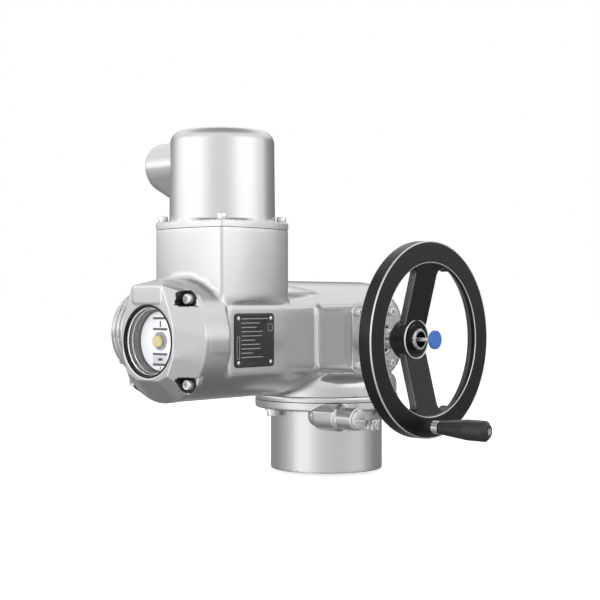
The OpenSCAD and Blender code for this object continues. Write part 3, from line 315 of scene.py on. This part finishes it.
def cast(name, node, voxel_mm, rounds, machined=(), keep=1.0, body="housing", slot="silver_paint", cores=(),
         blocks=()):
    """A softened copy of a node. machined lists (axis, place in mm, side) of the faces cut flat afterwards. The
    remesh fuses further forms with the casting: cores lists (radius, x from, x to, y, z) of rods along X, and
    blocks lists (centre, size) of boxes."""
    piece = twin(name, node)
    bpy.ops.object.mode_set(mode="EDIT")
    for radius, x_from, x_to, y, z in cores:
        bpy.ops.mesh.primitive_cylinder_add(vertices=CORE_VERTICES, radius=radius * MM,
                                            depth=(x_to - x_from) * MM, rotation=(0, math.pi / 2, 0),
                                            location=Vector(((x_from + x_to) / 2, y, z)) * MM)
    for centre, size in blocks:
        bpy.ops.mesh.primitive_cube_add(size=1, location=Vector(centre) * MM, scale=Vector(size) * MM)
    bpy.ops.object.mode_set(mode="OBJECT")
    for axis, place, side in machined:
        pick(piece, lambda co: abs(co[axis] - place * MM) < ON_PLANE_MM * MM)
        outward = Vector((0, 0, 0))
        outward[axis] = side * MACHINING_MM * MM
        bpy.ops.transform.translate(value=outward)
        bpy.ops.object.mode_set(mode="OBJECT")
    finish_with(piece, "REMESH", mode="VOXEL", voxel_size=voxel_mm * MM, use_smooth_shade=True)
    finish_with(piece, "SMOOTH", factor=0.5, iterations=rounds)
    if keep < 1:
        finish_with(piece, "DECIMATE", ratio=keep)
    for axis, place, side in machined:
        point, normal = Vector((0, 0, 0)), Vector((0, 0, 0))
        point[axis] = place * MM
        normal[axis] = side
        only(piece)
        bpy.ops.object.mode_set(mode="EDIT")
        bpy.ops.mesh.select_all(action="SELECT")
        bpy.ops.mesh.bisect(plane_co=point, plane_no=normal, use_fill=True, clear_outer=True)
        bpy.ops.object.mode_set(mode="OBJECT")
    shade(piece)
    hand_over(piece, body, slot, node)
    return piece


# Screw pockets of the cover, whose walls and bottoms get painted shade, alike in each quarter: centre from the
# window's axis, reach round the centre, spans from the window's axis, and the depths of wall and bottom from the
# output axis
POCKET_X, POCKET_Z, POCKET_R = 40, 41.5, 9
SPAN_X, SPAN_Z = (33, 49), (34, 50)
WALL_Y, BOTTOM_Y = (249.6, 262.5), (248.5, 250)
# How far in from the hub and the rim the paler sides of the spokes end
PALE_IN, PALE_OUT = 2, 3

cast("housing_casting", "gear_housing", 2.2, 8, [(1, -243, -1), (2, 262, 1), (2, 84.6, -1), (0, 93, 1),
                                                 (0, -84, -1)])
cover = cast("cover_casting", "switch_cover", 0.7, 3, [(1, -243.6, 1)])
# Painted shade: the walls and bottoms of the screw pockets take a dark coat that stands for the shade falling in them
cover.data.materials.append(pocket_painted_shade)
for face in cover.data.polygons:
    x, y, z = (abs(value) / MM for value in face.center - Vector((0, 0, AXIS_Z * MM)))
    wall = WALL_Y[0] < y < WALL_Y[1] and face.normal.y > -0.9
    bottom = BOTTOM_Y[0] < y < BOTTOM_Y[1] and face.normal.y < -0.5
    near = math.hypot(x - POCKET_X, z - POCKET_Z) < POCKET_R
    if near and SPAN_X[0] < x < SPAN_X[1] and SPAN_Z[0] < z < SPAN_Z[1] and (wall or bottom):
        face.material_index = 1
cast("connection_drum", "connector_cover", 1.2, 9, [(2, 262.6, -1)])
# The inner part of the plug boss is thicker, and a web joins it to the flange above
cast("foot_casting", "output_housing", 1.1, 4, [(2, 78, 1), (2, -3, -1)], cores=[(14.7, 41, 70, -57, 63.5)],
     blocks=[((55.5, -57, 67), (29, 29.4, 7))])
cast("motor_casting", "motor_housing", 1.5, 3, [(0, -84.6, 1), (0, -243, -1)])
cast("motor_cap_casting", "motor_end_cap", 1.1, 2, [(0, -243, 1)])
cast("hand_drive_cover", "manual_drive_cover", 0.8, 3, [(0, 93, -1)])
wheel = cast("handwheel_casting", "handwheel", 0.8, 3, keep=0.5, body="handwheel", slot="black_coating",
             cores=[(20.4, 138.5, 150, HAND_Y, AXIS_Z), (17.5, 135.5, 140, HAND_Y, AXIS_Z)])
# The sides of the spokes take a paler grey, fully metallic coat
wheel.data.materials.append(pale_spoke_coat)
for face in wheel.data.polygons:
    from_axis = math.hypot(face.center.y / MM - HAND_Y, face.center.z / MM - AXIS_Z)
    if abs(face.normal.y) > 0.8 and HUB_RING_R + PALE_IN < from_axis < RIM_R - PALE_OUT:
        face.material_index = 1
# The photo shows no dark image of the wheel in the silver coat behind it, so mirrored rays pass it by
wheel.visible_glossy = False
cast("moulded_grip", "handle_grip", 0.6, 5, body="grip", slot="black_plastic")
cast("moulded_button", "button_head", 0.35, 2, body="button", slot="blue_plastic")

# %% [markdown]
# Screws and plugs keep their exact form and only get the tiny chamfer that every turned part has, because that
# chamfer is what catches the light.

# %% Chamfered small parts

CHAMFER_MM = 0.3


def chamfer(node):
    """A copy of a node of the housing with every sharp edge bevelled."""
    slot = next(part["material_slot"] for part in frame["record"]["subparts"] if part["node"] == node)
    piece = twin("chamfered_" + node, node)
    bpy.ops.object.mode_set(mode="EDIT")
    bpy.ops.mesh.select_all(action="SELECT")
    bpy.ops.mesh.dissolve_limited(angle_limit=math.radians(1))
    bpy.ops.object.mode_set(mode="OBJECT")
    finish_with(piece, "BEVEL", width=CHAMFER_MM * MM, segments=2, limit_method="ANGLE",
                angle_limit=math.radians(35))
    shade(piece, 50)
    hand_over(piece, "housing", slot, node)


for node in ("output_screws", "cover_screws", "connector_screws", "motor_screws", "end_cap_screws",
             "manual_drive_screws", "oil_plug", "earth_clamp", "earth_screw", "rating_plate", "flange_ring"):
    chamfer(node)

# %% [markdown]
# Flat marks are thin bars that stand a few tenths proud of what carries them. The dial shows the pipe symbols of
# the closed position. The rating plate has ruled lines and fields, left blank, and four domed rivets.

# %% Marks on the dial and the plate


def bars(name, body, slot, material, boxes):
    """Thin bars in one piece, each given by its centre and size in mm."""
    piece = begin(name)
    for centre, size in boxes:
        bpy.ops.mesh.primitive_cube_add(size=1, location=Vector(centre) * MM, scale=Vector(size) * MM)
    bpy.ops.object.mode_set(mode="OBJECT")
    hand_over(piece, body, slot, material=material)


PRINT_MM = 0.5
dial_bars = [((-0.4, DIAL_Y, AXIS_Z + z), (20.8, PRINT_MM, 2.2)) for z in (22.5, 11.8, -13, -23.4)]
dial_bars.append(((0, DIAL_Y, AXIS_Z + 16.8), (1.8, PRINT_MM, 6.4)))
dial_bars.append(((0, DIAL_Y, AXIS_Z - 26.6), (1.2, PRINT_MM, 2.6)))
bars("dial_symbols", "indicator", "black_plastic", printed_black, dial_bars)
bars("dial_field", "indicator", "white_plastic", printed_grey,
     [((-0.4, DIAL_Y, AXIS_Z - 18.2), (20.8, PRINT_MM - 0.2, 9))])

dial_oval = begin("dial_oval")
bpy.ops.mesh.primitive_cylinder_add(vertices=48, radius=3.5 * MM, depth=(PRINT_MM + 0.2) * MM,
                                    location=(0, DIAL_Y * MM, (AXIS_Z - 18.2) * MM),
                                    rotation=(math.pi / 2, 0, 0), scale=(1, 0.42, 1))
bpy.ops.object.mode_set(mode="OBJECT")
shade(dial_oval)
hand_over(dial_oval, "indicator", "black_plastic", material=printed_black)

dial_boss = begin("dial_boss")
bpy.ops.mesh.primitive_cylinder_add(vertices=64, radius=9.2 * MM, depth=2.4 * MM,
                                    location=(0, DIAL_Y * MM, AXIS_Z * MM), rotation=(math.pi / 2, 0, 0))
bpy.ops.object.mode_set(mode="OBJECT")
finish_with(dial_boss, "BEVEL", width=0.4 * MM, segments=3, limit_method="ANGLE", angle_limit=math.radians(40))
shade(dial_boss, 60)
hand_over(dial_boss, "indicator", "grey_plastic", material=violet_boss)

# Ruled lines of the plate, from the top: start and end as shares of its width
PLATE_W, PLATE_H = 56.7, 54.3
RULED = [(0.16, 0.84), (0.16, 0.62), (0.16, 0.54), (0.16, 0.7), (0.16, 0.68), (0.16, 0.5), (0.16, 0.63),
         (0.16, 0.65), (0.16, 0.44), (0.16, 0.71)]
plate_left = PLATE_Y - PLATE_W / 2
plate_top = AXIS_Z + PLATE_H / 2
plate_bars = []
for i, (start, end) in enumerate(RULED):
    middle = plate_left + (start + end) / 2 * PLATE_W
    plate_bars.append(((PLATE_FACE_X, middle, plate_top - 5.4 - 4.3 * i), (0.3, (end - start) * PLATE_W, 0.7)))
# Blank fields: a square at the upper right and a tall one at the left edge
for y, z, w, h in ((50.8, 14.5, 6.4, 7), (4.6, 34.5, 3.6, 22)):
    for side in (-1, 1):
        plate_bars.append(((PLATE_FACE_X, plate_left + y + side * w / 2, plate_top - z), (0.3, 0.5, h)))
        plate_bars.append(((PLATE_FACE_X, plate_left + y, plate_top - z + side * h / 2), (0.3, w, 0.5)))
bars("plate_ruling", "housing", "zinc_steel", printed_silver, plate_bars)

RIVET_R, RIVET_INSET = 2, 5
rivets = begin("rivet_domes")
for side_y in (-1, 1):
    for side_z in (-1, 1):
        rivet_y = PLATE_Y + side_y * (PLATE_W / 2 - RIVET_INSET)
        rivet_z = AXIS_Z + side_z * (PLATE_H / 2 - RIVET_INSET)
        bpy.ops.mesh.primitive_uv_sphere_add(segments=32, ring_count=16, radius=RIVET_R * MM, scale=(0.4, 1, 1),
                                             location=Vector((PLATE_FACE_X, rivet_y, rivet_z)) * MM)
bpy.ops.object.mode_set(mode="OBJECT")
shade(rivets)
hand_over(rivets, "housing", "zinc_steel", "plate_rivets")

# %% [markdown]
# The window's round pieces are turned: a ring of points is extruded from station to station, and scaled to each
# radius. The rubber lines the bore, and behind the glass the steel narrows in fine steps towards the dial.

# %% Turned pieces of the window

ROUND_VERTICES = 128


def turned(name, stations, body, slot, material, replaced=()):
    """A ring round the window's axis. stations lists its closed section as (radius, y) in mm."""
    piece = begin(name)
    radius, y = stations[0]
    bpy.ops.mesh.primitive_circle_add(vertices=ROUND_VERTICES, radius=radius * MM, rotation=(math.pi / 2, 0, 0),
                                      location=Vector((0, y, AXIS_Z)) * MM)
    for next_radius, next_y in stations[1:] + stations[:1]:
        bpy.ops.mesh.extrude_region_move(TRANSFORM_OT_translate={"value": (0, (next_y - y) * MM, 0)})
        ratio = next_radius / radius
        bpy.ops.transform.resize(value=(ratio, ratio, ratio), center_override=Vector((0, next_y, AXIS_Z)) * MM)
        radius, y = next_radius, next_y
    bpy.ops.mesh.select_all(action="SELECT")
    bpy.ops.mesh.remove_doubles(threshold=0.01 * MM)
    bpy.ops.mesh.normals_make_consistent(inside=False)
    bpy.ops.object.mode_set(mode="OBJECT")
    shade(piece, 30)
    hand_over(piece, body, slot, *replaced, material=material)


turned("window_rubber", [(35.65, -264.45), (35.65, -269.5), (35.2, -269.8), (34.7, -269.7), (34.3, -268.8),
                         (33.4, -264.45)], "housing", "black_rubber", finishes["black_rubber"], ["window_gasket"])
STEPS, STEP_IN, STEP_BACK = 6, 0.5, 1.93
steps = [(34.3, -264.4)]
for k in range(STEPS):
    r = 33.4 - STEP_IN * k
    front = -264.4 + STEP_BACK * k
    steps += [(r, front), (r - 0.1, front + 1.0), (r - 0.35, front + 1.25), (r - 0.2, front + 1.6)]
steps += [(30.4, -252.85), (34.3, -252.85)]
# The steps take the darker steel of painted shade
turned("window_steps", steps, "housing", "polished_steel", window_steel, ["window_retainer"])
pane = begin("window_pane")
bpy.ops.mesh.primitive_cylinder_add(vertices=ROUND_VERTICES, radius=33.2 * MM, depth=1.6 * MM,
                                    location=Vector((0, -265.2, AXIS_Z)) * MM, rotation=(math.pi / 2, 0, 0))
bpy.ops.object.mode_set(mode="OBJECT")
shade(pane)
hand_over(pane, "housing", "clear_glass", "window_glass")

# %% [markdown]
# The handwheel is coated first and turned afterwards, so its edges are bare metal: thin bright rings that draw the
# wheel's outline. Two finer rings of the same metal on the lips of the steps behind the window's glass are painted
# highlight.

# %% Bright edges of wheel and window


def bead(name, centre_mm, rotation, radius_mm, thick_mm, body):
    """A thin ring of bright metal: a bare turned edge on the wheel, painted highlight on the window's lips."""
    piece = begin(name)
    bpy.ops.mesh.primitive_torus_add(location=Vector(centre_mm) * MM, rotation=rotation, major_segments=160,
                                     minor_segments=10, major_radius=radius_mm * MM, minor_radius=thick_mm * MM)
    bpy.ops.object.mode_set(mode="OBJECT")
    shade(piece)
    hand_over(piece, body, "cast_alloy", material=turned_edge_and_highlight)


ROUND_X = (0, math.pi / 2, 0)
ROUND_Y = (math.pi / 2, 0, 0)
for name, radius, x, thick in (("rim_outer_edge", WHEEL_R - 1.05, WHEEL_FACE_X - 1.05, 1.0),
                               ("rim_inner_edge", RIM_R + 0.8, WHEEL_FACE_X - 0.75, 0.65),
                               ("hub_ring_edge", HUB_RING_R - 0.9, HUB_FACE_X - 0.6, 0.9)):
    bead(name, (x, HAND_Y, AXIS_Z), ROUND_X, radius, thick, "handwheel")
# Painted highlight: bright rings on the lips of the window's steps
for name, radius, y in (("window_outer_lip", 33.1, -263.9), ("window_inner_lip", 31.9, -259.6)):
    bead(name, (0, y, AXIS_Z), ROUND_Y, radius, 0.5, "housing")

# %% [markdown]
# The camera stands where the photographer stood. The ellipses of the foot and of the handwheel gave its place, its
# turn and its focal length in pixels.

# %% Camera

CAMERA_PLACE = (919 * MM, -1071 * MM, 189.6 * MM)
CAMERA_TURN = 41.85
FOCAL_PX = 1237
PHOTO_PX = 600
SENSOR_MM = 36

camera_data = bpy.data.cameras.new("photo_camera")
camera_data.sensor_width = SENSOR_MM
camera_data.lens = FOCAL_PX * SENSOR_MM / PHOTO_PX
camera = bpy.data.objects.new("photo_camera", camera_data)
camera.location = CAMERA_PLACE
camera.rotation_euler = (math.radians(90), 0, math.radians(CAMERA_TURN))
scene.collection.objects.link(camera)
scene.camera = camera

# %% [markdown]
# The studio has a floor that renders as white paper and a white background. The background's brightness is there for
# rays that the camera sees, directly, mirrored or through glass. The light that falls on the part stays plain.

# %% Floor and background

scene.view_settings.view_transform = "Standard"


def seen_directly(tree):
    """1 for rays from the camera, and for those that metal mirrors or glass lets through."""
    path = add(tree, "ShaderNodeLightPath").outputs
    some = add(tree, "ShaderNodeMath", {0: path["Is Camera Ray"], 1: path["Is Glossy Ray"]}, operation="MAXIMUM")
    return add(tree, "ShaderNodeMath", {0: some.outputs[0], 1: path["Is Transmission Ray"]},
               operation="MAXIMUM").outputs[0]


world = bpy.data.worlds.new("white_studio")
scene.world = world
world.use_nodes = True
world_tree = world.node_tree
world_tree.nodes.clear()
WORLD_LEVEL = 0.6
strength = add(world_tree, "ShaderNodeMapRange", {"Value": seen_directly(world_tree), "To Min": WORLD_LEVEL,
                                                  "To Max": 1.0}).outputs["Result"]
sky = add(world_tree, "ShaderNodeBackground", {"Color": (1, 1, 1, 1), "Strength": strength})
add(world_tree, "ShaderNodeOutputWorld", {"Surface": sky.outputs[0]})

only(camera)
bpy.ops.mesh.primitive_plane_add(size=16, location=(0, 0, cad_low.z - 0.2 * MM))
floor = bpy.context.object
floor.name = "floor"
paper = bpy.data.materials.new("white_paper")
paper.use_nodes = True
tree = paper.node_tree
tree.nodes.clear()
FLOOR_GLOW = 0.68
glow = add(tree, "ShaderNodeMath", {0: seen_directly(tree), 1: FLOOR_GLOW}, operation="MULTIPLY")
sheet = add(tree, "ShaderNodeBsdfPrincipled", {
    "Base Color": linear("#d9d9d9"), "Roughness": 0.9, "Specular IOR Level": 0.0,
    "Emission Color": (1, 1, 1, 1), "Emission Strength": glow.outputs[0]})
add(tree, "ShaderNodeOutputMaterial", {"Surface": sheet.outputs[0]})
floor.data.materials.append(paper)
# The metal mirrors the lower half of the tent instead of the floor: its undersides are grey in the photo
floor.visible_glossy = False

# %% [markdown]
# What gives the silver coat its look is what it mirrors, so a large tent stands round the part. Only mirrored rays
# see it, like the grey flags that a product photographer sets out of the frame. Its light is written as curves over
# the turn about the part, in degrees from the camera and growing to the right, one for what lies above the horizon
# and one for what lies below. Two more curves run over the height: one dims the light towards the floor, and one is
# the grey cloth overhead.

# %% Softbox tent

TENT_RADIUS = 6.0
only(floor)
bpy.ops.mesh.primitive_uv_sphere_add(segments=64, ring_count=32, radius=TENT_RADIUS, location=(0, 0, 0.2))
tent = bpy.context.object
tent.name = "softbox_tent"
cloth = bpy.data.materials.new("softbox_cloth")
cloth.use_nodes = True
tree = cloth.node_tree
tree.nodes.clear()

ABOVE = [(-180, 0.12), (-140, 0.4), (-120, 0.85), (-101, 1.5), (-80, 1.82), (-55, 1.8), (-31, 1.4),
         (-4, 1.07), (22, 1.33), (49, 1.9), (70, 1.8), (88, 1.35), (100, 1.2), (110, 0.75), (124, 0.4), (180, 0.12)]
BELOW = [(-180, 0.38), (-128, 0.36), (-98, 0.59), (-75, 0.97), (-50, 1.58), (-29, 1.27), (-8, 0.95), (30, 0.83),
         (70, 0.95), (88, 0.6), (99, 0.5), (115, 0.33), (180, 0.3)]
HEIGHTS = [(0, 0.5), (0.15, 0.6), (0.4, 1), (1, 1)]
OVERHEAD = [(0, 0.55), (0.6, 0.55), (0.75, 0.58), (0.84, 0.62), (0.91, 0.35), (1, 0.2)]
BRIGHTEST = 2.0
HORIZON = (0.486, 0.542)
LAMP_TOPS = (0.62, 0.74)

where = add(tree, "ShaderNodeTexCoord").outputs["Object"]
faced = add(tree, "ShaderNodeMapping", {"Vector": where, "Rotation": (0, 0, math.radians(90 - CAMERA_TURN))})
parts = add(tree, "ShaderNodeSeparateXYZ", {"Vector": faced.outputs[0]}).outputs
turn = add(tree, "ShaderNodeMath", {0: parts["Y"], 1: parts["X"]}, operation="ARCTAN2").outputs[0]
round_share = add(tree, "ShaderNodeMapRange", {"Value": turn, "From Min": -math.pi,
                                               "From Max": math.pi}).outputs[0]
height = add(tree, "ShaderNodeMapRange", {"Value": parts["Z"], "From Min": -TENT_RADIUS,
                                          "From Max": TENT_RADIUS}).outputs[0]
curves = []
for along, points in ((round_share, [((degrees + 180) / 360, light / BRIGHTEST) for degrees, light in ABOVE]),
                      (round_share, [((degrees + 180) / 360, light / BRIGHTEST) for degrees, light in BELOW]),
                      (height, HEIGHTS), (height, OVERHEAD)):
    curve = add(tree, "ShaderNodeFloatCurve", {"Value": along})
    line = curve.mapping.curves[0]
    line.points[0].location = points[0]
    line.points[1].location = points[-1]
    for point in points[1:-1]:
        line.points.new(*point)
    curve.mapping.update()
    curves.append(curve.outputs[0])
above, below, dimmed, overhead = curves
blended = add(tree, "ShaderNodeMapRange", {"Value": height, "From Min": HORIZON[0], "From Max": HORIZON[1],
                                           "To Min": below, "To Max": above}).outputs[0]
level = add(tree, "ShaderNodeMath", {0: blended, 1: dimmed}, operation="MULTIPLY").outputs[0]
capped = add(tree, "ShaderNodeMapRange", {"Value": height, "From Min": LAMP_TOPS[0], "From Max": LAMP_TOPS[1],
                                          "To Min": level, "To Max": overhead}).outputs[0]
lit = add(tree, "ShaderNodeMath", {0: capped, 1: BRIGHTEST}, operation="MULTIPLY").outputs[0]
shine = add(tree, "ShaderNodeEmission", {"Strength": lit})
add(tree, "ShaderNodeOutputMaterial", {"Surface": shine.outputs[0]})
cloth.cycles.emission_sampling = "NONE"
tent.data.materials.append(cloth)
tent.visible_camera = False
tent.visible_diffuse = False
tent.visible_transmission = False
tent.visible_shadow = False
tent.visible_volume_scatter = False

# %% [markdown]
# Three soft lamps give the diffuse light on black, white and blue plastic, and the faint shadow on the floor. Metal
# doesn't mirror them, because the tent already stands for what it sees.

# %% Lamps

PART_MIDDLE = Vector((0, -0.08, 0.17))


def softbox(name, place, size, watts):
    """A rectangular lamp that faces the part."""
    lamp = bpy.data.lights.new(name, "AREA")
    lamp.shape = "RECTANGLE"
    lamp.size, lamp.size_y = size
    lamp.energy = watts
    holder = bpy.data.objects.new(name, lamp)
    holder.location = place
    aim = PART_MIDDLE - Vector(place)
    holder.rotation_euler = aim.to_track_quat("-Z", "Y").to_euler()
    holder.visible_glossy = False
    scene.collection.objects.link(holder)


softbox("left_softbox", (-0.2, -1.8, 0.5), (1.0, 1.4), 30)
softbox("right_softbox", (1.9, 0.1, 0.7), (1.0, 1.4), 12)
softbox("top_softbox", (0.1, -0.2, 1.9), (1.4, 1.4), 12)
print("studio ready")

# %% [markdown]
# Last, the json module is imported once more.

# %% Last import

import json
